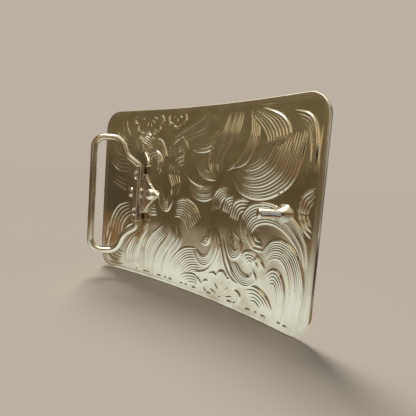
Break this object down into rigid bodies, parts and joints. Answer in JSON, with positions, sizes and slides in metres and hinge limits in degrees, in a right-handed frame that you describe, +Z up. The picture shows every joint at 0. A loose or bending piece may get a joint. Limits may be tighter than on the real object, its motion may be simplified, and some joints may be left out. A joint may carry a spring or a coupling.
{
  "type": "belt buckle",
  "caption": "Curved metal face plate with a swinging wire bail for the belt's fixed end and a leaning prong for its holes.",
  "frame": {"origin": "the plate's lower edge, at mid-length and mid-thickness", "axes": "+Z up the plate as worn, +X along its length from the bail towards the prong, +Y out of the decorated front"},
  "size_m": [0.0946, 0.0182, 0.0635],
  "materials": {
    "plate_nickel": "polished, lightly tarnished",
    "bracket_nickel": "polished, lightly tarnished",
    "rivet_nickel": "polished",
    "wire_nickel": "polished",
    "prong_nickel": "polished",
    "solder_silver": "satin"
  },
  "bodies": {
    "plate_body": {"face_plate": "plate_nickel", "hinge_bracket": "bracket_nickel", "rivet_outer": "rivet_nickel", "rivet_inner": "rivet_nickel", "prong": "prong_nickel", "prong_solder": "solder_silver"},
    "bail_body": {"bail": "wire_nickel"}
  },
  "joints": [
    {"name": "bail_hinge", "type": "hinge", "parent": "plate_body", "child": "bail_body", "pos_m": [-0.02604, -0.00459, 0.03085], "axis": [0, 0, 1], "range_deg": [-37, 141]}
  ]
}
